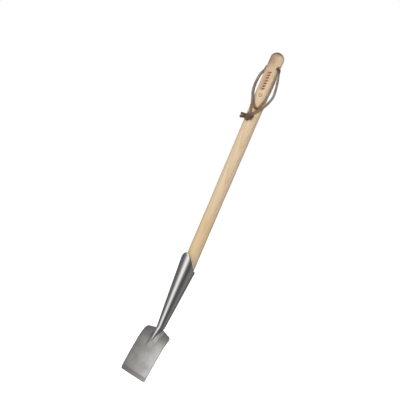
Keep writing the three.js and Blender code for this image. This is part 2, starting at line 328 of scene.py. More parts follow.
def stains_and_painted_shade(nodes, place, x, y, z, warp, colour):
    """Darker on the grip's left side near its top, a blotch, a tanned lower shaft, and painted shade:
    a dark band just above the socket's rim, a dark top to the dome and a dark spot round the lace
    hole's opening on the front."""
    leftward = nodes.math("ADD", nodes.math("MULTIPLY", x, 0.766), nodes.math("MULTIPLY", y, 0.643))
    # darker on the grip's left side near its top
    grip_left_darkening = nodes.math("MULTIPLY", nodes.between(z, 0, 1, -0.016, 0.008),
                         nodes.between(leftward, 0.72, 0, -0.011, 0.008))
    colour = nodes.mix(grip_left_darkening, colour, (0.240, 0.145, 0.080))
    blotch = nodes.between(nodes.noise(place, (70, 70, 50), 2), 0, 0.7, 0.52, 0.68)
    blotch = nodes.math("MULTIPLY", blotch, nodes.between(z, 0, 1, 0.002, 0.014))
    blotch = nodes.math("MULTIPLY", blotch, nodes.between(leftward, 1, 0, -0.006, 0.004))
    colour = nodes.mix(blotch, colour, (0.480, 0.250, 0.150))
    tanned = nodes.math("MULTIPLY", nodes.between(z, 0.42, 0, -0.39, -0.25),
                        nodes.between(z, 0, 1, -0.455, -0.420))
    colour = nodes.mix(tanned, colour, (0.686, 0.469, 0.225))
    # painted shade: the wood darkened just above the socket's rim
    painted_rim_shade = nodes.between(z, 0.50, 0, -0.462, -0.425)
    colour = nodes.mix(painted_rim_shade, colour, (0.360, 0.310, 0.255))
    # painted shade: the dome's top darkened as if little light falls on it from above
    painted_dome_shade = nodes.between(nodes.math("ADD", z, nodes.math("MULTIPLY", warp, 0.006)),
                          0, 0.85, 0.0255, 0.0305)
    colour = nodes.mix(painted_dome_shade, colour, (0.150, 0.095, 0.060))
    # painted shade: the wood round the lace hole's opening darkened for the hole's shadow
    painted_hole_mouth_shade = nodes.patch(place, (0.0145, -0.0022, -0.0010), (60, 170, 190), 0.9, 0.55, 1.05)
    return nodes.mix(painted_hole_mouth_shade, colour, (0.100, 0.062, 0.036))


def ash_wood():
    material, nodes, shader = principled("ash_wood")
    place = nodes.object_place()
    x, y, z = nodes.xyz(place)
    colour, fibres, pores, warp = ash_grain(nodes, place, x, y, z)
    colour = stains_and_painted_shade(nodes, place, x, y, z, warp, colour)
    burned, scorch_and_lace_shadow = burned_mark(nodes, x, y, z, place)
    # the mark's scorch and the lace's painted shadow
    colour = nodes.mix(nodes.math("MULTIPLY", scorch_and_lace_shadow, 0.80), colour, (0.500, 0.265, 0.165))
    colour = nodes.mix(nodes.math("MULTIPLY", burned, 0.85), colour, (0.110, 0.050, 0.026))
    nodes.feed(shader.inputs["Base Color"], colour)

    roughness = nodes.math("ADD",
                           nodes.between(fibres, 0.44, 0.60), nodes.math("MULTIPLY", burned, 0.2))
    nodes.feed(shader.inputs["Roughness"], roughness)
    shader.inputs["Specular IOR Level"].default_value = 0.4
    height = nodes.math("SUBTRACT",
                        nodes.math("MULTIPLY", fibres, 0.5), nodes.math("MULTIPLY", pores, 0.7))
    height = nodes.math("SUBTRACT", height, nodes.math("MULTIPLY", burned, 1.3))
    nodes.feed(shader.inputs["Normal"], nodes.bump(height, 0.00025, 0.55))
    return material


# ---- steels ------------------------------------------------------------------------------------


def weld_tints_and_painted_light(nodes, place, tone):
    """The weld left a reddish patch and a lighter straw-coloured one under the nose's tip, which is
    partly a painted highlight; a dull band on the nose's left is painted shade and a bright one on its
    right is a painted highlight."""
    for centre, reach, share, tint in (
        ((-0.0160, 0, -0.6020), (70, 0, 75), 0.75, (0.860, 0.720, 0.680)),
        # painted shade: two dull patches on the nose's left
        ((-0.0084, 0, -0.6130), (290, 0, 85), 0.75, (0.330, 0.295, 0.255)),
        ((-0.0056, 0, -0.6290), (290, 0, 85), 0.80, (0.270, 0.250, 0.205)),
        # painted highlight: two bright patches on the nose's right
        ((0.0100, 0, -0.6150), (170, 0, 75), 1.00, (1.000, 0.990, 0.930)),
        ((0.0130, 0, -0.6020), (190, 0, 90), 1.00, (1.000, 0.990, 0.940)),
        # a straw-coloured weld tint that is also a painted highlight under the nose's tip
        ((0.0030, 0, -0.6320), (120, 0, 75), 0.45, (0.800, 0.760, 0.620)),
    ):
        tone = nodes.mix(nodes.patch(place, centre, reach, share, 0.2, 1.0), tone, tint)
    return tone


def ground_steel(name, colour, dark, rough, lines, wear=0.0, painted_side_light=0.0, cloudy=0.8,
                 weld_tints_and_light=False):
    """Satin steel. lines is how the fine scratches are stretched along x, y and z, and
    painted_side_light is how much brighter the right half is painted than the left: a painted
    reflection."""
    material, nodes, shader = principled(name)
    place = nodes.object_place()
    scratches = nodes.noise(place, lines, 3, 0.65)
    cloud = nodes.noise(place, (26, 26, 26), 4, 0.6)
    spots = nodes.noise(place, (420, 420, 420), 2, 0.5)
    tone = nodes.mix(nodes.between(cloud, 0, cloudy, 0.35, 0.75), colour, dark)
    tone = nodes.mix(nodes.between(scratches, 0, 0.30, 0.45, 0.80), tone, dark)
    tone = nodes.mix(nodes.between(spots, 0, 0.5 * wear, 0.62, 0.72), tone, (0.16, 0.14, 0.12))
    # weld tints, with painted shade and painted highlights round the nose
    if weld_tints_and_light:
        tone = weld_tints_and_painted_light(nodes, place, tone)
    # painted reflection: the right half brightened and the left darkened
    painted_side_brightening = nodes.between(nodes.xyz(place)[0], 1 - painted_side_light, 1 + painted_side_light, -0.037, 0.037)
    tone = nodes.vector("SCALE", tone)
    nodes.feed(tone.node.inputs["Scale"], painted_side_brightening)
    nodes.feed(shader.inputs["Base Color"], tone)
    shader.inputs["Metallic"].default_value = 1.0
    uneven = nodes.math("ADD",
                        nodes.between(scratches, rough - 0.07, rough + 0.07, 0.25, 0.75),
                        nodes.between(cloud, -0.05, 0.05, 0.3, 0.7))
    nodes.feed(shader.inputs["Roughness"], uneven)
    nodes.feed(shader.inputs["Normal"], nodes.bump(scratches, 0.00006, 0.5))
    return material


# ---- leather -----------------------------------------------------------------------------------


def lace_leather(name, colour, dark, red, knot_shade_and_fold_tone, rough):
    """Leather that is redder low in the loop, a painted reflection of the wood there, and darkest in
    the knot, in the fold of the inner turn and at the mouths of the hole; in the knot and at the hole
    this darkening is painted shade."""
    material, nodes, shader = principled(name)
    place = nodes.object_place()
    grain = nodes.noise(place, (1400, 1400, 1400), 3, 0.6)
    blotch = nodes.noise(place, (75, 75, 75), 3, 0.55)
    tint = nodes.noise(place, (28, 28, 28), 2, 0.5)
    x, _, z = nodes.xyz(place)
    # painted reflection: redder low in the loop, where the lace hangs against the wood
    low = nodes.between(z, 0.85, 0, -0.088, -0.066)
    tone = nodes.mix(nodes.between(blotch, 0, 1, 0.35, 0.7), colour, dark)
    tone = nodes.mix(nodes.math("ADD", nodes.between(tint, 0, 0.5, 0.5, 0.75), low), tone, red)
    tone = nodes.mix(nodes.between(grain, 0, 0.45, 0.45, 0.75), tone, dark)
    # painted shade: the leather darkened in the knot
    tone = nodes.mix(nodes.between(z, 0.80, 0, -0.112, -0.106), tone, knot_shade_and_fold_tone)
    fold = nodes.patch(place, (0.0110, 0, -0.0935), (150, 0, 230), 0.85, 0.45, 1.05)
    tone = nodes.mix(fold, tone, knot_shade_and_fold_tone)
    # painted shade: the lace darkened where it goes into the hole
    painted_lace_hole_shade = nodes.math("MULTIPLY", nodes.between(z, 0, 0.8, -0.013, -0.004),
                           nodes.between(nodes.math("ABSOLUTE", x), 1, 0, 0.0185, 0.0225))
    tone = nodes.mix(painted_lace_hole_shade, tone, (0.060, 0.036, 0.020))
    nodes.feed(shader.inputs["Base Color"], tone)
    nodes.feed(shader.inputs["Roughness"], nodes.between(grain, rough - 0.08, rough + 0.12))
    shader.inputs["Specular IOR Level"].default_value = 0.45
    shader.inputs["Sheen Weight"].default_value = 0.25
    shader.inputs["Sheen Roughness"].default_value = 0.5
    creases = nodes.noise(place, (420, 420, 230), 3, 0.6)
    relief = nodes.math("ADD", nodes.math("MULTIPLY", grain, 0.5), creases)
    nodes.feed(shader.inputs["Normal"], nodes.bump(relief, 0.0006, 0.6))
    return material


# ---- the lace ----------------------------------------------------------------------------------

LACE_WIDTH = 5.5
LACE_THICK = 3.0
LACE_SQUARENESS = 0.8                   # 1 gives an elliptical section, and less a squarer one
LACE_GAP = 3.9                          # least distance between two strands' middles in the knot
LACE_STEP = 1.0
HOLE_SQUEEZE = 0.72                     # the share of its width that the lace keeps in the hole
SHAFT_RADIUS = 14.0

# From the knot up past the shaft's left side, through the hole, down its right side, round in
# front, up the left side again, through the hole a second time, and back in a wide bow.
LACE_ROUTE = [
    (6.2, -20.0, -106.5), (4.4, -20.2, -98.5), (1.9, -20.5, -91), (-1.0, -20.8, -81.5),
    (-5.9, -19.8, -73), (-12.0, -17.4, -65), (-16.1, -14.9, -56.4), (-18.9, -12.3, -48),
    (-20.6, -10.2, -40), (-21.2, -8.6, -31.4), (-20.9, -7.0, -23), (-18.9, -4.2, -14.6),
    (-17.5, -2.4, -8), (-17.2, -2.0, -3.9), (-15.8, -1.9, -1.4), (-8, -1.9, -1.3), (8, -1.9, -1.3),
    (15.9, -1.9, -1.35), (17.3, -1.9, -3.8), (17.2, -1.7, -8.4), (17.0, -1.2, -16),
    (17.2, -0.5, -28), (17.2, -0.2, -40), (17.0, -1, -58), (16.9, -3.6, -71), (15.9, -7.4, -81),
    (14.6, -10.2, -89.0), (12.0, -12.9, -93.4), (6.8, -16.6, -90.2), (3.0, -17.1, -85.8),
    (0.3, -17.1, -81.5), (-6.2, -15.9, -73), (-12.4, -13.3, -65), (-17.5, -10.8, -56.4),
    (-20.7, -8.3, -48), (-22.5, -6.4, -40), (-22.9, -4.8, -31.4), (-22.6, -3.2, -23),
    (-20.6, -0.3, -14.6), (-18.6, 1.4, -8), (-17.5, 1.8, -3.9), (-15.8, 1.9, -1.4),
    (-8, 1.9, -1.3), (8, 1.9, -1.3), (15.9, 1.9, -1.35), (17.3, 2.1, -3.8), (17.6, 2.6, -8.4),
    (19.2, 3.2, -14.6), (21.8, 2.9, -23), (24.4, 2.2, -31.4), (27.3, 1.1, -40), (29.0, 0.3, -48),
    (30.2, -0.5, -56.4), (29.7, -2.1, -65), (28.0, -4.4, -73), (25.4, -7.0, -81.5),
    (21.6, -9.8, -90), (18.4, -11.6, -94), (15.0, -13.8, -98.5), (10.4, -17.4, -106.6),
]

KNOT_CENTRE = np.array([6.8, -20.5, -114.2])
KNOT_AXIS = np.array([-0.75, -0.66, 0.0]) / math.hypot(0.75, 0.66)     # towards the cut ends
KNOT_FRONT = np.array([0.66, -0.75, 0.0]) / math.hypot(0.75, 0.66)
UP = np.array([0.0, 0.0, 1.0])
FORWARDS = np.array([0.0, -1.0, 0.0])
BOW_FACE = np.array([0.35, -0.94, 0.0])     # the way the lace's flat face looks in the right bow
TAIL_LENGTH = 12                        # in points, as KNOT_LENGTH
KNOT_LENGTH = 74                        # how much of each end is tied or hangs free
KNOT_BLEND = 12                         # over which the lace passes from free to laid


def knot_point(along, front, up):
    return KNOT_CENTRE + along * KNOT_AXIS + front * KNOT_FRONT + up * UP


def first_line():
    """A loosely tied line: each end turns once round the knot and goes out through its middle."""
    first = [knot_point(*p) for p in (
        (16.5, 2.6, 0.4), (13.0, 1.6, 1.1), (9.0, 0.8, 1.9), (5.0, 0.0, 2.1), (0.0, 0.0, 2.1),
        (-5.0, -0.6, 2.4),
        (-8.4, -2.8, 2.6), (-7.4, -4.6, 5.4), (-5.0, -1.2, 7.2), (-3.0, 3.8, 5.0),
        (-2.2, 5.0, 0), (-1.4, 3.8, -5.2), (0, 0, -7.0), (1.4, -3.8, -5.0), (2.4, -4.9, 0.4),
        (3.4, -2.8, 5.2),
    )]
    last = [knot_point(*p) for p in (
        (-0.8, -0.6, 7.2), (1.4, 3.8, 5.0), (2.4, 5.0, 0.2), (3.4, 3.8, -5.0), (5.0, 0, -7.0),
        (6.4, -4.2, -4.6), (4.6, -6.4, -0.6), (-5.2, -6.2, -1.4), (-8.4, -2.0, -2.4),
        (-6.0, 0.2, -2.1), (0, 0, -2.1), (5, 0, -2.8), (9.0, 0.8, -3.8), (12.8, 1.6, -4.9),
        (16.2, 2.6, -5.9),
    )]
    return evenly(catmull_rom([*first, *LACE_ROUTE, *last], LACE_STEP / 2), LACE_STEP)


def settle(line, rounds=260):
    """Pulls both ends' turns snug: the line keeps its length and stays off itself and the shaft."""
    line = line.copy()
    count = len(line)
    loose = np.zeros(count)
    loose[:KNOT_LENGTH] = 1
    loose[-KNOT_LENGTH:] = 1
    for k in range(KNOT_BLEND):
        held = (k + 1) / (KNOT_BLEND + 1)
        loose[KNOT_LENGTH + k] = loose[-KNOT_LENGTH - 1 - k] = 1 - held
    near = np.concatenate([np.arange(KNOT_LENGTH + 24), np.arange(count - KNOT_LENGTH - 24, count)])
    i, j = np.triu_indices(len(near), 1)
    i, j = near[i], near[j]
    far = j - i > 7
    i, j = i[far], j[far]
    for _ in range(rounds):
        middle = (line[:-2] + line[2:]) / 2
        line[1:-1] += 0.35 * loose[1:-1, None] * (middle - line[1:-1])
        for start in (0, 1, 0, 1):
            a, b = np.arange(start, count - 1, 2), np.arange(start + 1, count, 2)
            gap = line[b] - line[a]
            long = np.linalg.norm(gap, axis=1)[:, None]
            move = 0.5 * (long - LACE_STEP) / long * gap
            line[a] += loose[a, None] * move
            line[b] -= loose[b, None] * move
        gap = line[j] - line[i]
        apart = np.linalg.norm(gap, axis=1)
        hit = apart < LACE_GAP
        push = (LACE_GAP - apart[hit])[:, None] * gap[hit] / apart[hit][:, None]
        shift = np.zeros_like(line)
        times = np.ones(count)
        np.add.at(shift, i[hit], -0.5 * push)
        np.add.at(shift, j[hit], 0.5 * push)
        np.add.at(times, i[hit], 0.35)
        np.add.at(times, j[hit], 0.35)
        line += loose[:, None] * shift / times[:, None]
        out = np.hypot(line[:, 0], line[:, 1])
        clear = SHAFT_RADIUS + 0.5 + LACE_THICK / 2
        inside = (out < clear) & (loose > 0) & (line[:, 2] < -60)
        line[inside, :2] *= (clear / out[inside])[:, None]
    return line


def flat_frames(line):
    """Unit vectors ahead, across the lace's flat width and out of its flat face, at each point.
    The face looks away from the shaft, up in the hole's right half, and forwards on the left side
    and in the right bow."""
    ahead = np.gradient(line, axis=0)
    ahead /= np.linalg.norm(ahead, axis=1)[:, None]
    count = len(line)
    carried = np.zeros_like(line)
    face = FORWARDS
    for k in range(count):
        face = face - face.dot(ahead[k]) * ahead[k]
        face /= np.linalg.norm(face)
        carried[k] = face
    across = np.cross(ahead, carried)
    wanted = np.stack([line[:, 0], 1.5 * line[:, 1] - 2, 0 * line[:, 0]], axis=1)
    wanted /= np.linalg.norm(wanted, axis=1)[:, None]
    beside = np.array([smooth_step(-x, -12, 8) * smooth_step(z, -72, -52)
                       for x, _, z in line])[:, None]
    bow = np.array([smooth_step(x, 19, 26) if z < -12 else 0.0 for x, _, z in line])[:, None]
    level = np.array([smooth_step(x, -8, 10) * (1 - smooth_step(x, 14.5, 19)) if z > -12 else 0.0
                      for x, _, z in line])[:, None]
    wanted = wanted * (1 - beside) + FORWARDS * beside
    wanted = wanted * (1 - bow) + BOW_FACE * bow
    wanted = wanted * (1 - level) + UP * level
    wanted[:TAIL_LENGTH] = KNOT_FRONT
    wanted[-TAIL_LENGTH:] = KNOT_FRONT
    angle = np.arctan2((wanted * across).sum(1), (wanted * carried).sum(1))
    known = np.concatenate([np.arange(TAIL_LENGTH), np.arange(KNOT_LENGTH, count - KNOT_LENGTH),
                            np.arange(count - TAIL_LENGTH, count)])
    angle = np.interp(np.arange(count), known, np.unwrap(2 * angle[known]) / 2)
    smooth = np.convolve(np.pad(angle, 6, mode="edge"), np.ones(13) / 13, mode="valid")
    face = np.cos(smooth)[:, None] * carried + np.sin(smooth)[:, None] * across
    return ahead, np.cross(ahead, face), face


def thong(name, line, body, materials, sides=20):
    """A flat leather lace along a line. Its cut ends have the second material."""
    ahead, across, face = flat_frames(line)
    angles = np.linspace(0, 2 * math.pi, sides, endpoint=False)
    points, faces = [], []

    def squarish(wave, size):
        return np.sign(wave) * np.abs(wave) ** LACE_SQUARENESS * size / 2

    wide = squarish(np.cos(angles), LACE_WIDTH)
    thick = squarish(np.sin(angles), LACE_THICK)

    def ring(index, scale, out):
        uneven = 1 + 0.04 * math.sin(0.41 * index) * math.sin(0.173 * index + 1)
        if line[index][2] > -14:
            uneven *= HOLE_SQUEEZE + (1 - HOLE_SQUEEZE) * smooth_step(abs(line[index][0]), 14.5, 20)
        start = len(points)
        for w, t in zip(wide, thick):
            points.append(line[index] + out * ahead[index]
                          + scale * (uneven * w * across[index] + t / uneven ** 0.4 * face[index]))
        return list(range(start, start + sides))

    def join(before, after):
        faces.extend((before[k], before[(k + 1) % sides], after[(k + 1) % sides], after[k])
                     for k in range(sides))

    rings = [ring(k, 1.0, 0.0) for k in range(len(line))]
    for before, after in zip(rings, rings[1:]):
        join(before, after)
    slots = [0] * len(faces)
    for end, way in ((0, -1), (len(line) - 1, 1)):
        before = rings[end]
        for scale, out in ((0.94, 0.14), (0.86, 0.20), (0.45, 0.12)):
            after = ring(end, scale, way * out)
            join(before, after)
            slots += [0 if scale > 0.9 else 1] * sides
            before = after
        faces.append(tuple(before))
        slots.append(1)
    return make_piece(name, points, faces, body, materials, slots)


def add_lace():
    line = settle(first_line())
    leather = lace_leather("lace_leather", (0.300, 0.245, 0.205), (0.185, 0.140, 0.112),
                           (0.245, 0.130, 0.066), (0.100, 0.060, 0.037), 0.56)
    cut = lace_leather("lace_cut_end", (0.52, 0.49, 0.46), (0.40, 0.36, 0.33),
                       (0.48, 0.44, 0.41), (0.50, 0.47, 0.44), 0.8)
    lace = thong("hanging_lace", line, "hanging_loop", [leather, cut])
    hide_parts("lace_loop", "lace_knot", "lace_tail_upper", "lace_tail_lower")


# ---- blade -------------------------------------------------------------------------------------

EDGE_Y = -31.0
EDGE_Z = -705.5
BLADE_LEAN = math.radians(11.0)         # the blade leans forwards on its way down
BLADE_WIDTH = 74.0
BLADE_THICKNESS = 2.4
BLADE_TOP = 113.5
BLADE_BOW = 1.8                         # its middle stands this much in front of both ends
BLADE_CROWN = 1.5                       # the sides lie this much further back than the middle
BEND_FROM = 72.0                        # from here up the blade bends back to the socket's middle
BEND_REACH = 33.0
BLADE_BEND = 4.0
BEVEL_HEIGHT = 10.5
EDGE_THICKNESS = 0.9
BOTTOM_CORNER = 3.0
SHOULDER_CORNER = 9.5
SHOULDER_PEAK = 115.3
SHOULDER_SLOPE = math.tan(math.radians(13.8))
EDGE_ROUND = 0.42
NOSE_TIP_Q = 80.0                       # the socket's nose ends this far up the blade
FILLET_HEIGHT = 1.1
FILLET_WIDTH = 4.2
FILLET_SPREAD = 6.5                     # how much further out its middle part reaches at the neck


def weld_fillet(x, q):
    """How far the front of the plate rises where it runs up to the socket's nose."""
    share = (q - NOSE_TIP_Q) / (BLADE_TOP - NOSE_TIP_Q)
    rise = FILLET_HEIGHT * smooth_step(share, -0.22, 0.75)
    beside = max(0.0, abs(x) - FILLET_SPREAD * max(0.0, share))
    return rise * math.exp(-(beside / FILLET_WIDTH) ** 2)


def on_blade(x, q, front):
    """The place of a point x across the blade, q up it, and front out of its middle surface."""
    share = q / BLADE_TOP
    out = front + 4 * BLADE_BOW * share * (1 - share) - BLADE_CROWN * (2 * x / BLADE_WIDTH) ** 2
    out -= BLADE_BEND * max(0.0, (q - BEND_FROM) / BEND_REACH) ** 2
    return np.array([
        x,
        EDGE_Y + q * math.sin(BLADE_LEAN) - out * math.cos(BLADE_LEAN),
        EDGE_Z + q * math.cos(BLADE_LEAN) + out * math.sin(BLADE_LEAN),
    ])


def blade_side(inset):
    """The right side of the blade's outline moved in by inset, from the bottom corner up."""
    half = BLADE_WIDTH / 2
    steep = math.hypot(1, SHOULDER_SLOPE)
    corner_x = half - BOTTOM_CORNER
    arc_x = half - SHOULDER_CORNER
    arc_q = SHOULDER_PEAK - SHOULDER_SLOPE * arc_x - SHOULDER_CORNER * steep
    side = []
    for angle in np.linspace(-math.pi / 2, 0, 9):
        side.append((corner_x + (BOTTOM_CORNER - inset) * math.cos(angle),
                     BOTTOM_CORNER + (BOTTOM_CORNER - inset) * math.sin(angle)))
    for q in (5, 7, 9, BEVEL_HEIGHT - 0.4, BEVEL_HEIGHT, BEVEL_HEIGHT + 0.4,
              *np.linspace(BEVEL_HEIGHT + 3, arc_q, 30)):
        side.append((half - inset, q))
    for angle in np.linspace(0, math.pi / 2 - math.atan(SHOULDER_SLOPE), 12)[1:]:
        side.append((arc_x + (SHOULDER_CORNER - inset) * math.cos(angle),
                     arc_q + (SHOULDER_CORNER - inset) * math.sin(angle)))
    for x in np.linspace(side[-1][0], 8, 10)[1:]:
        side.append((x, SHOULDER_PEAK - inset * steep - SHOULDER_SLOPE * x))
    return side


def blade_front(q):
    """How far the front face stands in front of the blade's middle surface."""
    thinner = (BLADE_THICKNESS - EDGE_THICKNESS) * max(0.0, 1 - q / BEVEL_HEIGHT)
    return BLADE_THICKNESS / 2 - thinner


def add_blade(steel, bevel):
    columns = 40
    across = [k / columns for k in range(-columns, columns + 1)]
    back = -BLADE_THICKNESS / 2
    points, faces, slots = [], [], []
    inner = blade_side(EDGE_ROUND)
    rows = len(inner)
    width = len(across)
    for face in (0, 1):
        for x, q in inner:
            for share in across:
                front = blade_front(q) + weld_fillet(x * share, q)
                points.append(on_blade(x * share, q, back if face else front))
        new = grid_faces(rows, width, False, face * rows * width)
        faces += new
        for index in range(len(new)):
            q = inner[index // (width - 1)][1]
            slots.append(1 if face == 0 and q < BEVEL_HEIGHT - 0.2 else 0)

    def border(first):
        bottom = [first + k for k in range(width)]
        right = [first + r * width + width - 1 for r in range(1, rows)]
        top = [first + (rows - 1) * width + k for k in range(width - 2, -1, -1)]
        left = [first + r * width for r in range(rows - 2, 0, -1)]
        return bottom + right + top + left

    loops = [border(0)]
    for turn in (20, 45, 70, 90, 110, 135, 160):
        angle = math.radians(turn)
        inset = EDGE_ROUND * (1 - math.sin(angle))
        side = blade_side(inset)
        ring = [(side[0][0] * share, side[0][1]) for share in across]
        ring += side[1:]
        ring += [(side[-1][0] * share, side[-1][1]) for share in across[-2::-1]]
        ring += [(-x, q) for x, q in side[-2:0:-1]]
        start = len(points)
        for x, q in ring:
            front = blade_front(q) + weld_fillet(x, q)
            if turn <= 90:
                out = front - EDGE_ROUND * (1 - math.cos(angle))
            else:
                out = back + EDGE_ROUND * (1 - abs(math.cos(angle)))
            points.append(on_blade(x, q, out))
        loops.append(list(range(start, len(points))))
    loops.append(border(rows * width))
    for one, two in zip(loops, loops[1:]):
        for k in range(len(one)):
            n = (k + 1) % len(one)
            faces.append((one[k], one[n], two[n], two[k]))
            slots.append(0)
    blade = make_piece("blade_plate", points, faces, "spade", [steel, bevel],
                       slots, sharp=9)
    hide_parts("blade")


# ---- socket ------------------------------------------------------------------------------------

NECK_Z = -592.0
NECK_Y = -5.4
NECK_RADIUS = 9.0
SOCKET_LEAN = 0.0245
SOCKET_FLARE = 0.0768
SOCKET_WALL = 2.2
SOCKET_FLOOR_Z = -574.0
RIM_FRONT_Z = -423.5
RIM_DROP = 35.0
SEAM_WIDTH = 2.6
SEAM_BOTTOM_Z = -548.0
NOSE_TIP = on_blade(0, NOSE_TIP_Q, 0)
NOSE_TIP_HALF_WIDTH = 0.8
NOSE_TIP_HALF_DEPTH = 2.0


def socket_y(z):
    return NECK_Y + SOCKET_LEAN * (z - NECK_Z)


def socket_radius(z):
    return NECK_RADIUS + SOCKET_FLARE * (z - NECK_Z)


def rim_height(angle):
    turn = min(math.pi, 1.5 * abs(angle))
    return RIM_FRONT_Z - RIM_DROP * ((1 - math.cos(turn)) / 2) ** 0.85


def seam_half_angle(z):
    opening = smooth_step(z, SEAM_BOTTOM_Z - 0.1, SEAM_BOTTOM_Z + 2.5) ** 0.5
    return opening * math.asin(SEAM_WIDTH / 2 / socket_radius(z))


def nose_point(angle, share):
    """On the nose, turned by angle from the front, at a share of the way from tip to neck."""
    rx = NOSE_TIP_HALF_WIDTH + (NECK_RADIUS - NOSE_TIP_HALF_WIDTH) * share
    ry = NOSE_TIP_HALF_DEPTH + (NECK_RADIUS - NOSE_TIP_HALF_DEPTH) * share
    y = NOSE_TIP[1] + (NECK_Y - NOSE_TIP[1]) * share
    z = NOSE_TIP[2] + (NECK_Z - NOSE_TIP[2]) * share
    return np.array([rx * math.sin(angle), y - ry * math.cos(angle), z])


def cone_point(angle, z, inside):
    radius = socket_radius(z) - inside
    return np.array([radius * math.sin(angle), socket_y(z) - radius * math.cos(angle), z])


def socket_skin():
    """The socket's nose, outer skin, lip and inner skin as rows of points, with an open seam at
    the back, and the rows between which the seam's cut faces run."""
    columns = 97
    nose_rows, cone_rows, inner_rows = 18, 46, 14
    lip = [(0.0, 0.5), (0.15, 0.15), (0.5, 0.0), (SOCKET_WALL - 0.5, 0.0),
           (SOCKET_WALL - 0.15, 0.15), (SOCKET_WALL, 0.5)]
    turns = [2 * c / (columns - 1) - 1 for c in range(columns)]

    def cone_row(inside, below, height=lambda top: top):
        """A row in the wall, a way inside its skin. height gives its z from the rim's z less below."""
        row = []
        for turn in turns:
            z = height(rim_height(math.pi * turn) - below)
            row.append(cone_point(turn * (math.pi - seam_half_angle(z)), z, inside))
        return row

    rows = [[nose_point(math.pi * turn, share) for turn in turns]
            for share in np.linspace(0, 1, nose_rows)[:-1]]
    for share in np.linspace(0, 1, cone_rows) ** 0.9:
        rows.append(cone_row(0, lip[0][1], lambda top: NECK_Z + (top - NECK_Z) * share))
    heights = [row[0][2] for row in rows[nose_rows - 1:]]
    rows += [cone_row(inside, below) for inside, below in lip[1:]]
    for share in np.linspace(0, 1, inner_rows)[1:]:
        rows.append(cone_row(SOCKET_WALL, lip[-1][1],
                             lambda top: top + (SOCKET_FLOOR_Z - top) * share))
    points = [p for row in rows for p in row]
    faces = grid_faces(len(rows), columns, False)
    faces.append(tuple(range(columns - 1, -1, -1)))
    last = (len(rows) - 1) * columns
    faces.append(tuple(range(last, last + columns)))
    first_open = next(i for i, z in enumerate(heights) if z > SEAM_BOTTOM_Z) + nose_rows - 1
    inner_start = nose_rows - 1 + cone_rows + len(lip) - 1
    inner = [i for i in range(inner_start - 1, len(rows)) if rows[i][0][2] > SEAM_BOTTOM_Z]
    outer = list(range(first_open - 1, inner[0] + 1))
    return points, faces, columns, outer, [*inner, inner[-1] + 1]


def add_socket(steel):
    points, faces, columns, outer, inner = socket_skin()
    # the two cut faces of the seam join the outer skin's edge to the inner skin's edge
    for column in (0, columns - 1):
        rail_out = [i * columns + column for i in outer]
        rail_in = [i * columns + column for i in inner]
        i, j = len(rail_out) - 1, 0
        while i > 0 or j < len(rail_in) - 1:
            z_out = points[rail_out[i - 1]][2] if i > 0 else -1e9
            z_in = points[rail_in[j + 1]][2] if j < len(rail_in) - 1 else -1e9
            if z_out >= z_in:
                if rail_out[i] != rail_in[j]:
                    faces.append((rail_out[i], rail_out[i - 1], rail_in[j]))
                i -= 1
            else:
                if rail_out[i] != rail_in[j]:
                    faces.append((rail_out[i], rail_in[j + 1], rail_in[j]))
                j += 1
    socket = make_piece("socket_cone", points, faces, "spade", [steel])
    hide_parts("socket")


# ---- shaft -------------------------------------------------------------------------------------

GRIP_RADIUS = 14.8
GRIP_SWELL_FROM = -270.0                # from here up the shaft thickens to the grip
SHAFT_TOP = 32.0
DOME_HEIGHT = 13.2
HOLE_RADIUS = 4.5
FULL_FIT_Z = -470.0                     # below this the shaft fills the socket
CLEARANCE = 0.3


def shaft_section(z):
    """The shaft's radius at a height, and the y of its middle there."""
    radius = SHAFT_RADIUS + (GRIP_RADIUS - SHAFT_RADIUS) * smooth_step(z, GRIP_SWELL_FROM, 0)
    fitted = socket_radius(z) - SOCKET_WALL - CLEARANCE
    free = smooth_step(z, FULL_FIT_Z, FULL_FIT_Z + 8)
    dome_start = SHAFT_TOP - DOME_HEIGHT
    if z > dome_start:
        share = (z - dome_start) / DOME_HEIGHT
        radius *= math.sqrt(max(0, 1 - share ** 2))
    return fitted * (1 - free) + radius * free, socket_y(z) * (1 - free)


def hole_cutter():
    """A bar along X through the shaft, flared at both ends to break the hole's edges."""
    half = [(12.0, 0.0), (13.2, 0.12), (14.2, 0.5), (15.2, 1.3), (16.6, 2.4), (20, 3.0)]
    profile = [(-x, HOLE_RADIUS + more) for x, more in reversed(half)]
    profile += [(x, HOLE_RADIUS + more) for x, more in half]
    sides = 48
    mesh = bpy.data.meshes.new("hole_cutter")
    points = []
    for x, radius in profile:
        for angle in np.linspace(0, 2 * math.pi, sides, endpoint=False):
            points.append((MM * x, MM * radius * math.cos(angle), MM * radius * math.sin(angle)))
    faces = grid_faces(len(profile), sides, True)
    faces.append(tuple(range(sides)))
    last = (len(profile) - 1) * sides
    faces.append(tuple(range(last + sides - 1, last - 1, -1)))
    mesh.from_pydata(points, [], faces)
    work = bmesh.new()
    work.from_mesh(mesh)
    bmesh.ops.recalc_face_normals(work, faces=work.faces)
    work.to_mesh(mesh)
    work.free()
    cutter = bpy.data.objects.new("hole_cutter", mesh)
    bpy.context.scene.collection.objects.link(cutter)
    return cutter


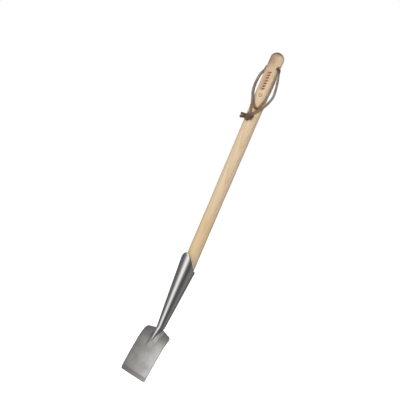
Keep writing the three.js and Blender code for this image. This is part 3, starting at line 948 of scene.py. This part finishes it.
def add_shaft(wood):
    sides = 96
    dome_start = SHAFT_TOP - DOME_HEIGHT
    levels = [*np.linspace(SOCKET_FLOOR_Z + CLEARANCE, FULL_FIT_Z, 8),
              *np.linspace(FULL_FIT_Z, FULL_FIT_Z + 8, 7)[1:],
              *np.linspace(FULL_FIT_Z + 14, dome_start, 60)]
    levels += [dome_start + DOME_HEIGHT * math.sin(angle)
               for angle in np.linspace(0, math.radians(88), 18)[1:]]
    points = []
    for z in levels:
        radius, y = shaft_section(z)
        for angle in np.linspace(0, 2 * math.pi, sides, endpoint=False):
            points.append((radius * math.sin(angle), y - radius * math.cos(angle), z))
    faces = grid_faces(len(levels), sides, True)
    faces.append(tuple(range(sides)))
    last = (len(levels) - 1) * sides
    points.append((0, 0, SHAFT_TOP))
    faces += [(last + k, last + (k + 1) % sides, len(points) - 1) for k in range(sides)]
    shaft = make_piece("ash_shaft", points, faces, "spade", [wood])
    cutter = hole_cutter()
    cut = shaft.modifiers.new("hole", "BOOLEAN")
    cut.object = cutter
    cut.operation = "DIFFERENCE"
    cut.solver = "EXACT"
    bpy.context.view_layer.update()
    whole = shaft.data
    result = shaft.evaluated_get(bpy.context.evaluated_depsgraph_get())
    shaft.data = bpy.data.meshes.new_from_object(result)
    shaft.modifiers.clear()
    bpy.data.meshes.remove(whole)
    bpy.data.objects.remove(cutter)
    shaft.data.shade_smooth()
    shaft.data.set_sharp_from_angle(angle=math.radians(35))
    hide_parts("shaft")


# ---- rivet -------------------------------------------------------------------------------------

RIVET_Z = -484.0


def add_rivet(steel):
    """A domed head with a thin flat rim, and its shank in the wood."""
    profile = [(0.0, -15.0), (0.8, -15.0), (1.9, -12.0), (1.9, 0.0), (4.45, 0.0), (4.6, 0.15),
               (4.6, 0.5), (4.5, 0.75)]
    profile += [(4.5 * math.cos(a), 0.75 + 1.55 * math.sin(a))
                for a in np.linspace(0, math.pi / 2, 12)[1:-1]]
    profile.append((0.0, 2.3))
    tilt = math.atan(SOCKET_FLARE)
    out = np.array([-math.cos(tilt), 0, -math.sin(tilt)])
    side = np.array([0, 1.0, 0])
    other = np.cross(out, side)
    base = np.array([-socket_radius(RIVET_Z), socket_y(RIVET_Z), RIVET_Z])
    sides = 48
    points = []
    for radius, height in profile:
        for angle in np.linspace(0, 2 * math.pi, sides, endpoint=False):
            points.append(base + height * out
                          + radius * (math.cos(angle) * side + math.sin(angle) * other))
    faces = grid_faces(len(profile), sides, True)
    rivet = make_piece("rivet_head", points, faces, "spade", [steel])
    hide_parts("socket_rivet")


# ---- floor, light ------------------------------------------------------------------------------

FLOOR_Z = -0.96
FLOOR_RADIUS = 14
STUDIO_LIGHT = 1.35
SPADE_MIDDLE = Vector((0, 0, -0.34))


def add_floor():
    material, nodes, shader = principled("pale_floor")
    place = nodes.object_place()
    mottle = nodes.noise(place, (3, 3, 3), 2)
    nodes.feed(shader.inputs["Base Color"],
               nodes.mix(mottle, (0.90, 0.90, 0.90), (0.93, 0.93, 0.93)))
    shader.inputs["Roughness"].default_value = 0.9
    shader.inputs["Specular IOR Level"].default_value = 0.0
    shader.inputs["Emission Color"].default_value = (1, 1, 1, 1)
    shader.inputs["Emission Strength"].default_value = 1.0
    sides = 96
    points = [(0, 0, FLOOR_Z)]
    points += [(FLOOR_RADIUS * math.cos(a), FLOOR_RADIUS * math.sin(a), FLOOR_Z)
               for a in np.linspace(0, 2 * math.pi, sides, endpoint=False)]
    faces = [(0, 1 + k, 1 + (k + 1) % sides) for k in range(sides)]
    mesh = bpy.data.meshes.new("floor")
    mesh.from_pydata(points, [], faces)
    mesh.materials.append(material)
    floor = bpy.data.objects.new("floor", mesh)
    bpy.context.scene.collection.objects.link(floor)
    floor.visible_glossy = False
    floor.visible_diffuse = False


def add_studio():
    """White all round for the eye. What the steel mirrors is a studio with one softbox on the
    camera's left, which reaches further round above the horizon, a dark gap beside it, a grey
    wall on the right, and a dark ceiling."""
    world = bpy.data.worlds.new("studio")
    bpy.context.scene.world = world
    world.use_nodes = True
    tree = world.node_tree
    tree.nodes.clear()
    nodes = Nodes(tree)
    way = nodes.add("TexCoord", {}, "Generated")
    right = nodes.vector("DOT_PRODUCT", way, tuple(TO_RIGHT), out=1)
    forward = Vector((TO_CAMERA.x, TO_CAMERA.y, 0)).normalized()
    near = nodes.vector("DOT_PRODUCT", way, tuple(forward), out=1)
    height = nodes.xyz(way)[2]
    turn = nodes.math("ARCTAN2", right, near)
    turn = nodes.math("ADD", nodes.math("DIVIDE", turn, 2 * math.pi), 0.5)
    gap_and_right = [
        (0.430, 0.78), (0.464, 0.34), (0.497, 0.12), (0.542, 0.078), (0.580, 0.080),
        (0.626, 0.125), (0.672, 0.175), (0.722, 0.195), (0.785, 0.14), (0.861, 0.11), (1.0, 0.10),
    ]
    level = nodes.ramp(turn, [
        (0.00, 0.10), (0.170, 0.115), (0.222, 0.13), (0.270, 0.16), (0.312, 0.34),
        (0.350, 0.76), (0.388, 1.0), *gap_and_right,
    ])
    raised = nodes.ramp(turn, [
        (0.00, 0.16), (0.120, 0.16), (0.200, 0.19), (0.250, 0.33), (0.290, 0.62),
        (0.340, 1.0), (0.388, 1.0), *gap_and_right,
    ])
    walls = nodes.mix(nodes.between(height, 0, 1, -0.10, 0.10), level, raised)
    ceiling = nodes.between(height, 0, 1, 0.16, 0.50)
    light = nodes.mix(ceiling, walls, (0.13, 0.13, 0.13))
    lamp = nodes.add("Background", {0: light, 1: STUDIO_LIGHT})
    plain = nodes.add("Background", {0: (1, 1, 1, 1), 1: 1.0})
    seen = nodes.add("LightPath", {}, "Is Camera Ray")
    both = nodes.add("MixShader", {0: seen, 1: lamp, 2: plain})
    output = tree.nodes.new("ShaderNodeOutputWorld")
    tree.links.new(both, output.inputs[0])


def add_lamp(name, side_angle, height_angle, distance, size, power, colour=(1, 1, 1)):
    """A soft lamp aimed at the middle of the spade, turned from the camera by side_angle."""
    turn = AZIMUTH + math.radians(side_angle)
    lift = math.radians(height_angle)
    way = Vector((math.sin(turn) * math.cos(lift), -math.cos(turn) * math.cos(lift),
                  math.sin(lift)))
    data = bpy.data.lights.new(name, "AREA")
    data.shape = "DISK"
    data.size = size
    data.energy = power
    data.color = colour
    lamp = bpy.data.objects.new(name, data)
    bpy.context.scene.collection.objects.link(lamp)
    lamp.matrix_world = (Matrix.Translation(SPADE_MIDDLE + distance * way)
                         @ way.to_track_quat("Z", "Y").to_matrix().to_4x4())
    lamp.visible_glossy = False


# ---- the scene ---------------------------------------------------------------------------------

add_camera()
add_lace()
add_floor()
add_studio()
add_lamp("key_lamp", -4, 14, 2.2, 1.2, 32)
add_lamp("right_lamp", 78, 6, 2.2, 1.6, 12.5, (0.81, 0.92, 1.0))
add_lamp("left_lamp", -105, 6, 2.2, 1.6, 9, (0.96, 0.98, 1.0))
add_lamp("back_lamp", 176, 16, 2.4, 1.6, 14)
bpy.context.scene.view_settings.view_transform = "Standard"

wood = ash_wood()
blade_steel = ground_steel("blade_steel", (0.72, 0.71, 0.68), (0.50, 0.485, 0.46), 0.34,
                           (700, 90, 90), 0.8, 0.18, 1.0, True)
bevel_steel = ground_steel("bevel_steel", (0.61, 0.58, 0.56), (0.47, 0.44, 0.42), 0.40,
                           (2200, 60, 60), 0.2, 0.10)
socket_steel = ground_steel("socket_steel", (0.70, 0.69, 0.68), (0.60, 0.59, 0.58), 0.17,
                            (700, 700, 25), 0.1)
rivet_steel = ground_steel("rivet_steel", (0.55, 0.54, 0.53), (0.42, 0.41, 0.40), 0.30,
                           (600, 600, 600), 0.3)

add_blade(blade_steel, bevel_steel)
add_socket(socket_steel)
add_shaft(wood)
add_rivet(rivet_steel)
